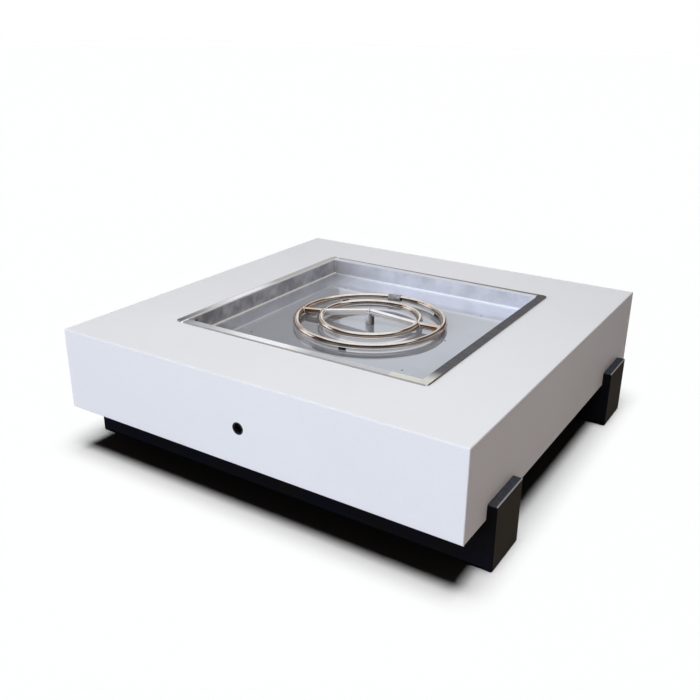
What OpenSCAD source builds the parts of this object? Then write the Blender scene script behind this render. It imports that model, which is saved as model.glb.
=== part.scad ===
// Square gas fire pit: a white sheet-steel housing carried on two black cradle legs, with a
// drop-in stainless burner pan, a double-ring burner and a quarter-turn key valve behind the
// hole in the front panel.
// Millimetres. X runs left to right along the front, Y front to back, Z up from the ground.

/* [Housing] */
// Width of the housing, left to right
housing_w = 1016; // [900:1:1200]
// Depth of the housing, front to back
housing_d = 1016; // [900:1:1200]
// Height of the housing, foot to top
housing_h = 195.5; // [180:0.5:260]
// Thickness of the housing sheet
sheet = 3; // [2:0.5:4]
// Rounding of the housing's outer edges, kept thinner than the sheet
edge_r = 2.5; // [1:0.25:3.5]
// Width of the flange turned in along the foot of each side
return_w = 40; // [32:1:60]
// Open seam between neighbouring foot flanges
seam = 0.5; // [0.2:0.1:2]

/* [Legs] */
// Height of a leg beam, ground to the foot of the housing
leg_h = 109; // [80:1:160]
// Width of a leg, front to back
leg_w = 127; // [110:1:180]
// Front leg, set back from the front of the housing
leg_front_setback = 97; // [60:1:200]
// Rear leg, set in from the back of the housing
leg_rear_setback = 72; // [60:1:200]
// Thickness of a leg upright, outward from the housing
upright_t = 20; // [12:1:40]
// Rise of a leg upright above the foot of the housing
upright_rise = 35; // [20:1:70]
// Wall of the leg sections
leg_wall = 3; // [2:0.5:5]
// Rounding of the leg's outer edges
leg_edge_r = 4; // [1:0.5:6]
// Diameter of a rubber foot pad
pad_d = 30; // [20:1:40]
// Thickness of a foot pad under the leg
pad_t = 2; // [1:0.5:6]
// Diameter of the stud that holds a foot pad
pad_stud_d = 8; // [5:0.5:12]
// Foot pads, set in from the housing's sides
pad_inset = 60; // [40:1:150]
// Diameter of a leg bolt
bolt_d = 8; // [6:1:10]
// Distance between the two bolts, or the two pads, at one end of a leg
bolt_spacing = 80; // [50:1:90]
// Length of a leg bolt under its head
bolt_len = 18; // [15:1:30]

/* [Pan] */
// Inside width of the square burner pan
pan_inside = 624; // [480:1:760]
// Depth of the pan, rim to floor
pan_depth = 43; // [30:1:70]
// Thickness of the pan sheet
pan_sheet = 1.5; // [1:0.1:3]
// Inside bend radius where the pan walls meet its floor
pan_bend_r = 4; // [2:0.5:10]
// Width of the rim around the pan
flange_w = 21; // [14:1:40]
// Rounding of the rim's outer corners
flange_corner_r = 10; // [5:1:20]
// Height of the turned-down lip that the rim stands on
lip_h = 3.5; // [2.5:0.5:8]
// Shift of the pan towards the back of the housing
pan_offset = 5; // [-20:1:20]
// Gap between the pan walls and the cut-out in the top
cutout_gap = 2; // [1:0.5:6]
// Diameter of a drain hole in the pan floor
drain_d = 5; // [3:0.5:10]
// Distance between neighbouring drain holes
drain_pitch = 208; // [201:1:225]

/* [Burner] */
// Diameter of the outer ring, measured at the middle of its tube
outer_ring_d = 366; // [330:1:380]
// Diameter of the inner ring, measured at the middle of its tube
inner_ring_d = 246; // [200:1:280]
// Diameter of the burner tube
tube_d = 16; // [12:0.5:19]
// Wall of the burner tube
tube_wall = 1.5; // [1:0.1:2]
// Height of the outer ring's middle above the pan floor
outer_ring_lift = 12; // [11:0.5:20]
// Height of the inner ring's middle above the pan floor
inner_ring_lift = 15; // [11:0.5:22]
// Height of the spokes' middle over the riser, above the pan floor
spoke_lift = 32; // [24:0.5:40]
// Turn of the spokes from left-right
spoke_angle = 11; // [-20:1:30]
// Diameter of a flame port
port_d = 2.5; // [1.5:0.1:4]
// Number of flame ports in the outer ring
outer_ports = 40; // [12:1:60]
// Number of flame ports in the inner ring
inner_ports = 28; // [12:1:48]
// Place of the sleeve on the outer ring, degrees from right
sleeve_angle = 100; // [80:1:120]
// Length of the sleeve around the ring, in degrees
sleeve_span = 11; // [6:1:20]
// Wall of the sleeve
sleeve_wall = 1; // [0.6:0.1:2]
// Places of the feet under the outer ring, degrees from right
foot_angles = [-79, 52, 142]; // [-180:1:180]
// Width of a burner foot along the ring
foot_w = 15; // [8:1:24]
// Depth of a burner foot across the ring
foot_d = 9; // [5:1:11]
// Diameter of the riser pipe
riser_d = 21.3; // [20:0.1:26]
// Wall of the riser pipe
riser_wall = 3.7; // [3.4:0.05:4.2]

/* [Gas line] */
// Diameter of the washer under the pan
washer_d = 44; // [36:1:60]
// Thickness of the washer under the pan
washer_t = 2; // [1:0.5:4]
// Width across the flats of the riser's locknut
locknut_af = 34; // [32:1:46]
// Thickness of the riser's locknut
locknut_t = 8; // [5:1:12]
// Diameter of the elbow under the burner
elbow_d = 28; // [26:1:36]
// Drop from the top of that elbow to its side outlet
elbow_rise = 24; // [20:1:36]
// Reach of the two elbows that the hose joins, from pipe to nose
hose_reach = 30; // [24:1:45]
// Depth of the pipe threads
thread_len = 11; // [8:0.5:12]
// Diameter of the pipe threads on the fittings
thread_d = 19; // [17:0.5:20]
// Bore through the gas fittings
gas_bore = 12; // [8:0.5:13]
// Diameter of the air mixer
mixer_d = 30; // [28:0.5:36]
// Length of the air mixer between the locknut and the elbow
mixer_len = 45; // [40:1:55]
// Length of each air window in the mixer
window_len = 14; // [8:1:18]
// Diameter of the noses that the hose nuts screw on
nose_d = 17; // [15:0.5:18]
// Length of those noses
nose_len = 16; // [12:1:22]
// Width across the flats of the hose nuts
hose_nut_af = 27; // [25:1:32]
// Length of a hose nut past the end of its nose
hose_nut_reach = 10; // [6:1:16]
// Diameter of the gas hose
hose_d = 14; // [10:0.5:14.5]
// Wall of the gas hose
hose_wall = 2; // [1:0.25:3]
// Diameter of the elbow over the valve
outlet_d = 24; // [21:1:28]
// Rise of the outlet's middle over the valve
outlet_rise = 14; // [13:0.5:24]
// Diameter of the gas inlet's nose
inlet_d = 15.88; // [12.7:0.01:17]
// Length of the gas inlet's nose
inlet_len = 18; // [14:1:26]
// Height of the inlet's hexagon
inlet_hex_h = 10; // [6:1:14]

/* [Key valve] */
// Height of the key hole above the foot of the housing
key_height = 86.7; // [76:0.1:120]
// Diameter of the key hole in the front panel
key_hole_d = 28; // [24:1:36]
// Wall of the black bushing in the key hole
bush_wall = 3; // [2:0.5:5]
// Length of the bushing behind the front of the panel
bush_len = 10; // [7:1:10]
// Width of the bushing's shoulder behind the panel
bush_shoulder = 4; // [2:0.5:8]
// Valve, set back from the front of the housing
valve_setback = 68; // [62:1:90]
// Diameter of the valve body
valve_d = 34; // [32:1:42]
// Half the height of the valve body
valve_half_h = 30; // [28:1:40]
// Diameter of the valve's ball
ball_d = 22; // [20:0.5:24]
// Bore of the valve's ball
ball_bore = 13; // [9:0.5:14]
// Diameter of the valve's stem
stem_d = 10; // [9:0.5:12]
// Square of the stem's key end
stem_square = 7.94; // [7:0.01:8]
// Length of the stem's square end
stem_square_len = 12.5; // [8:0.5:14]
// Length of the valve's thick boss, from the middle of the valve
boss_len = 24; // [21:1:30]
// Diameter of the valve's thick boss
boss_d = 26; // [24:1:30]
// Length of the valve's threaded neck past its boss
neck_len = 18; // [17:1:24]
// Diameter of the valve's threaded neck
neck_d = 20; // [19:0.5:22]
// Depth of the packing pocket in the neck
packing_len = 8; // [4:0.5:10]
// Width of the packing around the stem
packing_w = 2.5; // [1.5:0.1:3]
// Thickness of the neck's locknut
neck_nut_t = 6; // [4:0.5:7]
// Thickness of the packing nut's face
packing_nut_face = 2; // [1.5:0.5:4]
// Depth of the packing nut over the neck
packing_nut_skirt = 5; // [3:0.5:6]
// Thickness of the valve bracket
bracket_t = 3; // [2:0.5:4]
// Width of the valve bracket
bracket_w = 70; // [62:1:110]
// Rise of the bracket above the key
bracket_rise = 26; // [20:1:40]
// Distance between the bracket's two screws
screw_spacing = 46; // [36:1:46]
// Diameter of a bracket screw
screw_d = 5; // [4:0.5:6]

/* [Hidden] */
$fn = 64;
// Joint clearances
weld_gap = 0.05;
fit_gap = 0.05;
slip_gap = 0.3;
hole_gap = 0.4;
overcut = 1;
seam_turn = 45;
// Round and finish limits
edge = min(edge_r, sheet - 0.5);
// Levels
top_z = leg_h + housing_h;
wall_h = housing_h - sheet;
rim_z = top_z + lip_h;
floor_z = rim_z - pan_depth;
pan_under = floor_z - pan_sheet;
key_z = leg_h + key_height;
// Legs
beam_h = leg_h - pad_t;
beam_mid_z = pad_t + beam_h / 2;
upright_h = leg_h + upright_rise - pad_t;
front_leg_y = -housing_d / 2 + leg_front_setback + leg_w / 2;
rear_leg_y = housing_d / 2 - leg_rear_setback - leg_w / 2;
bolt_x = housing_w / 2 - (sheet + return_w) / 2;
bolt_head_h = 0.66 * bolt_d;
bolt_af = 1.625 * bolt_d;
leg_washer_t = 0.2 * bolt_d;
leg_washer_d = 2 * bolt_d;
rivet_wall = 1.5;
rivet_len = bolt_len;
rivet_bulge_h = 4;
rivet_bulge_w = 2;
pad_stud_len = leg_wall + 4;
// Pan
pan_outside = pan_inside + 2 * pan_sheet;
rim_out = pan_inside + 2 * flange_w;
cutout_w = pan_outside + 2 * cutout_gap;
// Burner
tube_r = tube_d / 2;
bore_r = tube_r - tube_wall;
passage_r = bore_r - 1;
riser_r = riser_d / 2;
riser_bore_r = riser_r - riser_wall;
apex = [0, 0, spoke_lift];
apex_overrun = tube_d;
// Gas line
mixer_top = pan_under - washer_t - locknut_t - slip_gap;
riser_foot_z = mixer_top - thread_len;
elbow_z = mixer_top - mixer_len - elbow_rise;
valve_y = -housing_d / 2 + valve_setback;
outlet_z = key_z + valve_half_h + outlet_rise;
nose_x = hose_reach + nose_len;
gas_r = gas_bore / 2;
nut_skirt = nose_len - 2;
nut_len = nut_skirt + hose_nut_reach;
hose_rise = elbow_z - outlet_z;
hose_depth = pan_offset - valve_y;
hose_bend_r = norm([hose_depth, hose_rise]) / 2;
hose_sway = hose_nut_reach * hose_nut_reach / (2 * hose_bend_r);
// Key valve
ball_r = ball_d / 2;
cavity_r = ball_r + 0.5;
seat_h = 3.6;
seat_out = ball_r + 1.2;
stem_r = stem_d / 2;
tang_w = 4;
tang_h = 3;
neck_front = boss_len + neck_len;
stem_foot = ball_r + slip_gap;
stem_shoulder = neck_front + packing_nut_face + 2 * slip_gap;
stem_front = stem_shoulder + stem_square_len;
packing_nut_af = neck_d + 6;
neck_nut_af = neck_d + 10;
foot_y = -housing_d / 2 + sheet + 5;
bracket_y = valve_y - boss_len - bracket_t;
screw_y = -housing_d / 2 + (sheet + return_w) / 2;
screw_head_d = 1.9 * screw_d;
screw_head_h = 0.6 * screw_d;
screw_nut_t = 0.8 * screw_d;
screw_nut_af = 1.6 * screw_d;
// Colours
white_paint = [0.87, 0.88, 0.9];
black_paint = [0.1, 0.095, 0.09];
stainless = [0.68, 0.69, 0.71];
dark_steel = [0.2, 0.19, 0.18];
zinc = [0.6, 0.61, 0.62];
brass = [0.78, 0.62, 0.34];
cast_iron = [0.26, 0.26, 0.27];
rubber_black = [0.06, 0.06, 0.06];
seal_white = [0.92, 0.92, 0.9];

// Shapes used by several pieces

// Extrusion of a flat outline along X: the outline's own axes become Y and Z
module along_x(length) {
    rotate([90, 0, 90]) linear_extrude(length, center = true) children();
}

// Extrusion of a flat outline along Y: the outline's own axes become X and Z
module along_y(length) {
    rotate([90, 0, 0]) linear_extrude(length, center = true) children();
}

// Rectangle on the origin with all four corners rounded
module round_rect(w, h, r) {
    square([w - 2 * r, h], center = true);
    square([w, h - 2 * r], center = true);
    for (sx = [-1, 1], sy = [-1, 1])
        translate([sx * (w / 2 - r), sy * (h / 2 - r)]) circle(r);
}

// Rectangle standing on the origin with its two upper corners rounded
module crowned(w, h, r) {
    intersection() {
        round_rect(w, 2 * h, r);
        translate([-w / 2, 0]) square([w, h]);
    }
}

// Rectangle standing on the origin with its two lower corners rounded
module bowl(w, h, r) {
    translate([0, h]) mirror([0, 1]) crowned(w, h, r);
}

// Square block with its lower edges rounded, as a folded tray is
module tray(w, h, r) {
    intersection() {
        along_y(w) bowl(w, h, r);
        along_x(w) bowl(w, h, r);
    }
}

// Hexagon prism across its flats
module hex(af, h) {
    cylinder(d = af / cos(30), h = h, $fn = 6);
}

// Children turned from +Z to point along -Y
module to_front() {
    rotate([90, 0, 0]) children();
}

// Children turned from +Z to point along +Y
module to_back() {
    rotate([-90, 0, 0]) children();
}

// Children turned from +Z to point along +X
module to_right() {
    rotate([0, 90, 0]) children();
}

// Nose of a flare fitting, standing on the origin, with a tapered end
module nose(d, h) {
    taper = d / 6;
    cylinder(d = d, h = h - taper);
    translate([0, 0, h - taper]) cylinder(d1 = d, d2 = d - 2 * taper, h = taper);
}

// Housing

// Folded side of the housing: outer face on Y = 0, foot flange turned in towards +Y
module l_profile() {
    difference() {
        union() {
            square([sheet, wall_h]);
            square([return_w, sheet]);
        }
        difference() {
            square(edge);
            translate([edge, edge]) circle(edge);
        }
    }
}

// Front or rear side, with its two upright edges rounded
module end_side() {
    intersection() {
        along_x(housing_w) l_profile();
        linear_extrude(wall_h) {
            translate([0, sheet]) mirror([0, 1]) crowned(housing_w, sheet, edge);
            translate([sheet - housing_w / 2, 0]) square([housing_w - 2 * sheet, return_w]);
        }
    }
}

// Left or right side, held between the front and rear sides
module flank() {
    flank_w = housing_d - 2 * sheet;
    flange_w_here = housing_d - 2 * (return_w + seam);
    intersection() {
        along_x(flank_w) l_profile();
        linear_extrude(wall_h) {
            translate([-flank_w / 2, 0]) square([flank_w, sheet]);
            translate([-flange_w_here / 2, 0]) square([flange_w_here, return_w]);
        }
    }
}

module at_leg_bolts() {
    for (leg_y = [front_leg_y, rear_leg_y], side = [-1, 1], step = [-1, 1])
        translate([side * bolt_x, leg_y + step * bolt_spacing / 2, leg_h]) children();
}

module flank_holes() {
    at_leg_bolts() translate([0, 0, -overcut]) cylinder(d = bolt_d + 2 * hole_gap, h = sheet + 2 * overcut);
}

module at_bracket_screws() {
    for (side = [-1, 1])
        translate([side * screw_spacing / 2, screw_y, leg_h]) children();
}

module top_panel() {
    color(white_paint)
    translate([0, 0, top_z - sheet])
    difference() {
        intersection() {
            linear_extrude(sheet) round_rect(housing_w, housing_d, edge);
            along_y(housing_d) crowned(housing_w, sheet, edge);
            along_x(housing_w) crowned(housing_d, sheet, edge);
        }
        translate([-cutout_w / 2, pan_offset - cutout_w / 2, -overcut])
            cube([cutout_w, cutout_w, sheet + 2 * overcut]);
    }
}

module front_panel() {
    color(white_paint)
    difference() {
        translate([0, -housing_d / 2, leg_h]) end_side();
        translate([0, -housing_d / 2 - overcut, key_z])
            to_back() cylinder(d = key_hole_d, h = sheet + 2 * overcut);
        at_bracket_screws() translate([0, 0, -overcut])
            cylinder(d = screw_d + 2 * hole_gap, h = sheet + 2 * overcut);
    }
}

module rear_panel() {
    color(white_paint)
    translate([0, housing_d / 2, leg_h]) rotate([0, 0, 180]) end_side();
}

module left_panel() {
    color(white_paint)
    difference() {
        translate([-housing_w / 2, 0, leg_h]) rotate([0, 0, -90]) flank();
        flank_holes();
    }
}

module right_panel() {
    color(white_paint)
    difference() {
        translate([housing_w / 2, 0, leg_h]) rotate([0, 0, 90]) flank();
        flank_holes();
    }
}

// Legs

module at_pads() {
    for (leg_y = [front_leg_y, rear_leg_y], side = [-1, 1], step = [-1, 1])
        translate([side * (housing_w / 2 - pad_inset), leg_y + step * bolt_spacing / 2, 0]) children();
}

module leg_beam(leg_y) {
    color(black_paint)
    difference() {
        translate([0, leg_y, beam_mid_z]) along_x(housing_w) difference() {
            round_rect(leg_w, beam_h, leg_edge_r);
            square([leg_w - 2 * leg_wall, beam_h - 2 * leg_wall], center = true);
        }
        at_leg_bolts() translate([0, 0, -leg_wall - overcut])
            cylinder(d = bolt_d + 2 * (rivet_wall + fit_gap), h = leg_wall + 2 * overcut);
        at_pads() cylinder(d = pad_stud_d + 2 * fit_gap, h = pad_t + leg_wall + overcut);
    }
}

// Upright at one end of a leg: a folded cap, open towards the beam and the housing
module upright(side, leg_y) {
    color(black_paint)
    translate([side * housing_w / 2, leg_y, pad_t]) mirror([side < 0 ? 1 : 0, 0, 0])
    difference() {
        intersection() {
            linear_extrude(upright_h) rotate(-90) crowned(leg_w, upright_t, leg_edge_r);
            along_x(4 * upright_t) crowned(leg_w, upright_h, leg_edge_r);
            along_y(leg_w) crowned(2 * upright_t, upright_h, leg_edge_r);
        }
        translate([-overcut, leg_wall - leg_w / 2, leg_wall])
            cube([upright_t - leg_wall + overcut, leg_w - 2 * leg_wall, upright_h - 2 * leg_wall]);
    }
}

module front_leg_beam() leg_beam(front_leg_y);
module rear_leg_beam() leg_beam(rear_leg_y);
module front_left_upright() upright(-1, front_leg_y);
module front_right_upright() upright(1, front_leg_y);
module rear_left_upright() upright(-1, rear_leg_y);
module rear_right_upright() upright(1, rear_leg_y);

module foot_pads() {
    color(rubber_black)
    at_pads() {
        cylinder(d = pad_d, h = pad_t);
        cylinder(d = pad_stud_d, h = pad_t + pad_stud_len);
    }
}

module leg_bolts() {
    color(zinc)
    at_leg_bolts() translate([0, 0, sheet + leg_washer_t]) {
        hex(bolt_af, bolt_head_h);
        translate([0, 0, -bolt_len]) cylinder(d = bolt_d, h = bolt_len + bolt_head_h / 2);
    }
}

module leg_washers() {
    color(zinc)
    at_leg_bolts() translate([0, 0, sheet]) difference() {
        cylinder(d = leg_washer_d, h = leg_washer_t);
        translate([0, 0, -overcut]) cylinder(d = bolt_d + 2 * hole_gap, h = leg_washer_t + 2 * overcut);
    }
}

// Blind rivet nuts set in the top wall of each beam
module leg_rivet_nuts() {
    color(zinc)
    at_leg_bolts() difference() {
        union() {
            translate([0, 0, -rivet_len]) cylinder(d = bolt_d + 2 * rivet_wall, h = rivet_len);
            translate([0, 0, -leg_wall - rivet_bulge_h])
                cylinder(d = bolt_d + 2 * (rivet_wall + rivet_bulge_w), h = rivet_bulge_h);
        }
        translate([0, 0, -rivet_len - overcut])
            cylinder(d = bolt_d + 2 * fit_gap, h = rivet_len + 2 * overcut);
    }
}

// Burner pan

module burner_pan() {
    color(stainless)
    translate([0, pan_offset, 0])
    difference() {
        union() {
            translate([0, 0, pan_under]) tray(pan_outside, pan_depth + pan_sheet, pan_bend_r + pan_sheet);
            translate([0, 0, rim_z - pan_sheet])
                linear_extrude(pan_sheet) round_rect(rim_out, rim_out, flange_corner_r);
            translate([0, 0, top_z]) linear_extrude(lip_h) difference() {
                round_rect(rim_out, rim_out, flange_corner_r);
                round_rect(rim_out - 2 * pan_sheet, rim_out - 2 * pan_sheet, flange_corner_r - pan_sheet);
            }
        }
        translate([0, 0, floor_z]) tray(pan_inside, pan_depth + pan_bend_r + overcut, pan_bend_r);
        translate([0, 0, pan_under - overcut]) {
            cylinder(d = riser_d + 2 * hole_gap, h = pan_sheet + 2 * overcut);
            for (ix = [-1:1], iy = [-1:1])
                if (ix != 0 || iy != 0)
                    translate([ix * drain_pitch, iy * drain_pitch, 0])
                        cylinder(d = drain_d, h = pan_sheet + 2 * overcut);
        }
    }
}

// Burner

module at_burner() {
    translate([0, pan_offset, floor_z]) children();
}

function ring_point(ring_d, lift, angle) = [ring_d / 2 * cos(angle), ring_d / 2 * sin(angle), lift];

function inner_point(angle) = ring_point(inner_ring_d, inner_ring_lift, angle);

function outer_point(angle) = ring_point(outer_ring_d, outer_ring_lift, angle);

// Point on the line from one point to another, short of the first by a given run
function before(from, to, run) = from - run * (to - from) / norm(to - from);

// Round bar between two points, turned about itself so that no cut runs along its seam
module bar(from, to, r) {
    reach = to - from;
    length = norm(reach);
    translate(from) rotate([0, acos(reach[2] / length), atan2(reach[1], reach[0])])
        rotate([0, 0, seam_turn]) cylinder(h = length, r = r);
}

module ring_bar(ring_d, lift, r) {
    translate([0, 0, lift]) rotate_extrude() translate([ring_d / 2, 0]) circle(r);
}

module ring_tube(ring_d, lift) {
    translate([0, 0, lift]) rotate_extrude() translate([ring_d / 2, 0]) difference() {
        circle(tube_r);
        circle(bore_r);
    }
}

// Flame ports, drilled down and inwards so that the tops of the rings stay whole
module ports(ring_d, lift, count) {
    for (i = [0:count - 1])
        rotate([0, 0, (i + 0.5) * 360 / count]) translate([ring_d / 2, 0, lift])
            rotate([0, 225, 0]) rotate([0, 0, seam_turn]) cylinder(d = port_d, h = tube_d);
}

module spoke_bar(angle, r) {
    bar(before(apex, inner_point(angle), apex_overrun), inner_point(angle), r);
}

module stub_bar(angle, r) {
    bar(inner_point(angle), outer_point(angle), r);
}

module outer_ring() {
    color(stainless)
    at_burner() difference() {
        ring_tube(outer_ring_d, outer_ring_lift);
        for (angle = [spoke_angle, spoke_angle + 180])
            stub_bar(angle, passage_r);
        ports(outer_ring_d, outer_ring_lift, outer_ports);
    }
}

module inner_ring() {
    color(stainless)
    at_burner() difference() {
        ring_tube(inner_ring_d, inner_ring_lift);
        for (angle = [spoke_angle, spoke_angle + 180]) {
            spoke_bar(angle, passage_r);
            stub_bar(angle, passage_r);
        }
        ports(inner_ring_d, inner_ring_lift, inner_ports);
    }
}

// Sloping spoke from the top of the riser to the inner ring, mitred over the riser
module spoke(angle) {
    color(stainless)
    at_burner() difference() {
        intersection() {
            spoke_bar(angle, tube_r);
            rotate([0, 0, angle]) translate([0, -tube_d, 0])
                cube([inner_ring_d, 2 * tube_d, 2 * spoke_lift]);
        }
        spoke_bar(angle, bore_r);
        ring_bar(inner_ring_d, inner_ring_lift, tube_r + weld_gap);
        cylinder(r = passage_r, h = spoke_lift);
    }
}

// Short tube between the two rings
module stub(angle) {
    color(stainless)
    at_burner() difference() {
        stub_bar(angle, tube_r);
        stub_bar(angle, bore_r);
        ring_bar(inner_ring_d, inner_ring_lift, tube_r + weld_gap);
        ring_bar(outer_ring_d, outer_ring_lift, tube_r + weld_gap);
    }
}

module left_spoke() spoke(spoke_angle + 180);
module right_spoke() spoke(spoke_angle);
module left_stub() stub(spoke_angle + 180);
module right_stub() stub(spoke_angle);

// Riser, with a mouth across its top that the two spokes lie in
module riser_pipe() {
    foot = riser_foot_z - floor_z;
    slope = atan((spoke_lift - inner_ring_lift) / (inner_ring_d / 2));
    mouth_z = spoke_lift - riser_r * tan(slope);
    mouth_r = tube_r / cos(slope) + weld_gap;
    color(stainless)
    at_burner() difference() {
        translate([0, 0, foot]) cylinder(r = riser_r, h = mouth_z - foot);
        translate([0, 0, foot - overcut]) cylinder(r = riser_bore_r, h = mouth_z - foot + 2 * overcut);
        rotate([0, 0, spoke_angle]) translate([0, 0, mouth_z])
            rotate([0, 90, 0]) cylinder(r = mouth_r, h = 2 * riser_d, center = true);
    }
}

module ring_sleeve() {
    color(zinc)
    at_burner() translate([0, 0, outer_ring_lift]) rotate([0, 0, sleeve_angle - sleeve_span / 2])
    rotate_extrude(angle = sleeve_span) translate([outer_ring_d / 2, 0]) difference() {
        circle(tube_r + weld_gap + sleeve_wall);
        circle(tube_r + weld_gap);
    }
}

module burner_feet() {
    color(dark_steel)
    at_burner() difference() {
        for (angle = foot_angles)
            rotate([0, 0, angle]) translate([(outer_ring_d - foot_d) / 2, -foot_w / 2, 0])
                cube([foot_d, foot_w, outer_ring_lift - tube_r / 2]);
        ring_bar(outer_ring_d, outer_ring_lift, tube_r + weld_gap);
    }
}

// Gas line

module riser_washer() {
    color(zinc)
    translate([0, pan_offset, pan_under - washer_t]) difference() {
        cylinder(d = washer_d, h = washer_t);
        translate([0, 0, -overcut]) cylinder(d = riser_d + 2 * hole_gap, h = washer_t + 2 * overcut);
    }
}

module riser_locknut() {
    color(zinc)
    translate([0, pan_offset, pan_under - washer_t - locknut_t]) difference() {
        hex(locknut_af, locknut_t);
        translate([0, 0, -overcut]) cylinder(d = riser_d + 2 * fit_gap, h = locknut_t + 2 * overcut);
    }
}

// Mixer on the foot of the riser, with an air window on each side
module air_mixer() {
    color(brass)
    translate([0, pan_offset, mixer_top]) mirror([0, 0, 1]) difference() {
        union() {
            cylinder(d = mixer_d, h = mixer_len);
            cylinder(d = thread_d, h = mixer_len + thread_len);
        }
        translate([0, 0, -overcut]) cylinder(r = gas_r, h = mixer_len + thread_len + 2 * overcut);
        translate([0, 0, -overcut])
            cylinder(d = riser_d + 2 * fit_gap, h = thread_len + slip_gap + overcut);
        translate([-mixer_d, -gas_r / 2, (mixer_len + thread_len - window_len) / 2])
            cube([2 * mixer_d, gas_r, window_len]);
    }
}

module burner_elbow() {
    corner_r = elbow_d / 2 + 0.6;
    color(cast_iron)
    translate([0, pan_offset, elbow_z]) difference() {
        union() {
            cylinder(d = elbow_d, h = elbow_rise);
            to_right() cylinder(d = elbow_d, h = hose_reach);
            translate([hose_reach, 0, 0]) to_right() nose(nose_d, nose_len);
            rotate([0, 0, seam_turn]) sphere(corner_r);
        }
        cylinder(r = gas_r, h = elbow_rise + overcut);
        to_right() cylinder(r = gas_r, h = nose_x + overcut);
        translate([0, 0, elbow_rise - thread_len - slip_gap])
            cylinder(d = thread_d + 2 * fit_gap, h = thread_len + slip_gap + overcut);
    }
}

// Nut over a nose that ends at the origin and points along +Z
module hose_nut() {
    translate([0, 0, -nut_skirt]) difference() {
        hex(hose_nut_af, nut_len);
        translate([0, 0, -overcut]) cylinder(d = nose_d + 2 * fit_gap, h = nut_skirt + slip_gap + overcut);
        cylinder(d = hose_d + 2 * (hose_sway + fit_gap), h = nut_len + overcut);
    }
}

module burner_hose_nut() {
    color(brass)
    translate([nose_x, pan_offset, elbow_z]) to_right() hose_nut();
}

module valve_hose_nut() {
    color(brass)
    translate([nose_x, valve_y, outlet_z]) to_right() hose_nut();
}

// Hose bowed to the right in one half turn from the valve to the burner
module gas_hose() {
    color(stainless)
    translate([nose_x + slip_gap, valve_y + hose_depth / 2, outlet_z + hose_rise / 2])
    rotate([atan2(hose_rise, hose_depth), 0, 0]) rotate([0, 0, -90])
    rotate_extrude(angle = 180) translate([hose_bend_r, 0]) difference() {
        circle(d = hose_d);
        circle(d = hose_d - 2 * hose_wall);
    }
}

module outlet_elbow() {
    corner_r = outlet_d / 2 + 0.6;
    color(brass)
    translate([0, valve_y, outlet_z]) difference() {
        union() {
            translate([0, 0, -outlet_rise]) cylinder(d = outlet_d, h = outlet_rise);
            translate([0, 0, -outlet_rise - thread_len]) cylinder(d = thread_d, h = thread_len + overcut);
            to_right() cylinder(d = outlet_d, h = hose_reach);
            translate([hose_reach, 0, 0]) to_right() nose(nose_d, nose_len);
            rotate([0, 0, seam_turn]) sphere(corner_r);
        }
        translate([0, 0, -outlet_rise - thread_len - overcut])
            cylinder(r = gas_r, h = outlet_rise + thread_len + overcut);
        to_right() cylinder(r = gas_r, h = nose_x + overcut);
    }
}

// Key valve, built around its middle with its flow upright and its stem to the front

module at_valve() {
    translate([0, valve_y, key_z]) children();
}

module inlet_fitting() {
    color(brass)
    at_valve() translate([0, 0, -valve_half_h]) difference() {
        union() {
            translate([0, 0, -overcut]) cylinder(d = thread_d, h = thread_len + overcut);
            translate([0, 0, -inlet_hex_h]) hex(hose_nut_af, inlet_hex_h);
            translate([0, 0, -inlet_hex_h]) mirror([0, 0, 1]) nose(inlet_d, inlet_len);
        }
        translate([0, 0, -inlet_hex_h - inlet_len - overcut])
            cylinder(r = inlet_d / 3.5, h = inlet_hex_h + inlet_len + thread_len + 2 * overcut);
    }
}

module valve_body() {
    color(brass)
    at_valve() difference() {
        union() {
            translate([0, 0, -valve_half_h]) cylinder(d = valve_d, h = 2 * valve_half_h);
            to_front() cylinder(d = boss_d, h = boss_len);
            to_front() cylinder(d = neck_d, h = neck_front);
        }
        translate([0, 0, -seat_out]) cylinder(r = cavity_r, h = seat_out + valve_half_h + overcut);
        translate([0, 0, -valve_half_h - overcut]) cylinder(r = gas_r, h = valve_half_h);
        translate([0, 0, -valve_half_h - overcut])
            cylinder(d = thread_d + 2 * fit_gap, h = thread_len + slip_gap + overcut);
        to_front() cylinder(r = stem_r + fit_gap, h = neck_front + overcut);
        to_front() translate([0, 0, neck_front - packing_len])
            cylinder(r = stem_r + packing_w + fit_gap, h = packing_len + overcut);
    }
}

// Screwed insert that holds the ball and its seats down and takes the outlet
module valve_retainer() {
    color(brass)
    at_valve() difference() {
        translate([0, 0, seat_out]) cylinder(r = cavity_r - fit_gap, h = valve_half_h - seat_out);
        cylinder(r = gas_r, h = valve_half_h + overcut);
        translate([0, 0, valve_half_h - thread_len - slip_gap])
            cylinder(d = thread_d + 2 * fit_gap, h = thread_len + slip_gap + overcut);
    }
}

module valve_seats() {
    color(seal_white)
    at_valve() for (side = [0, 1]) mirror([0, 0, side]) difference() {
        translate([0, 0, seat_out - seat_h]) cylinder(r = cavity_r - fit_gap, h = seat_h);
        cylinder(r = gas_r, h = seat_out + overcut);
        sphere(ball_r + slip_gap);
    }
}

// Ball, closed at rest: its bore lies across the flow
module valve_ball() {
    color(stainless)
    at_valve() difference() {
        rotate([0, 90, 0]) sphere(ball_r);
        rotate([0, 90, 0]) cylinder(d = ball_bore, h = 2 * ball_d, center = true);
        to_front() translate([-ball_r, -tang_w / 2 - fit_gap, ball_r - tang_h])
            cube([ball_d, tang_w + 2 * fit_gap, tang_h + overcut]);
    }
}

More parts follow.
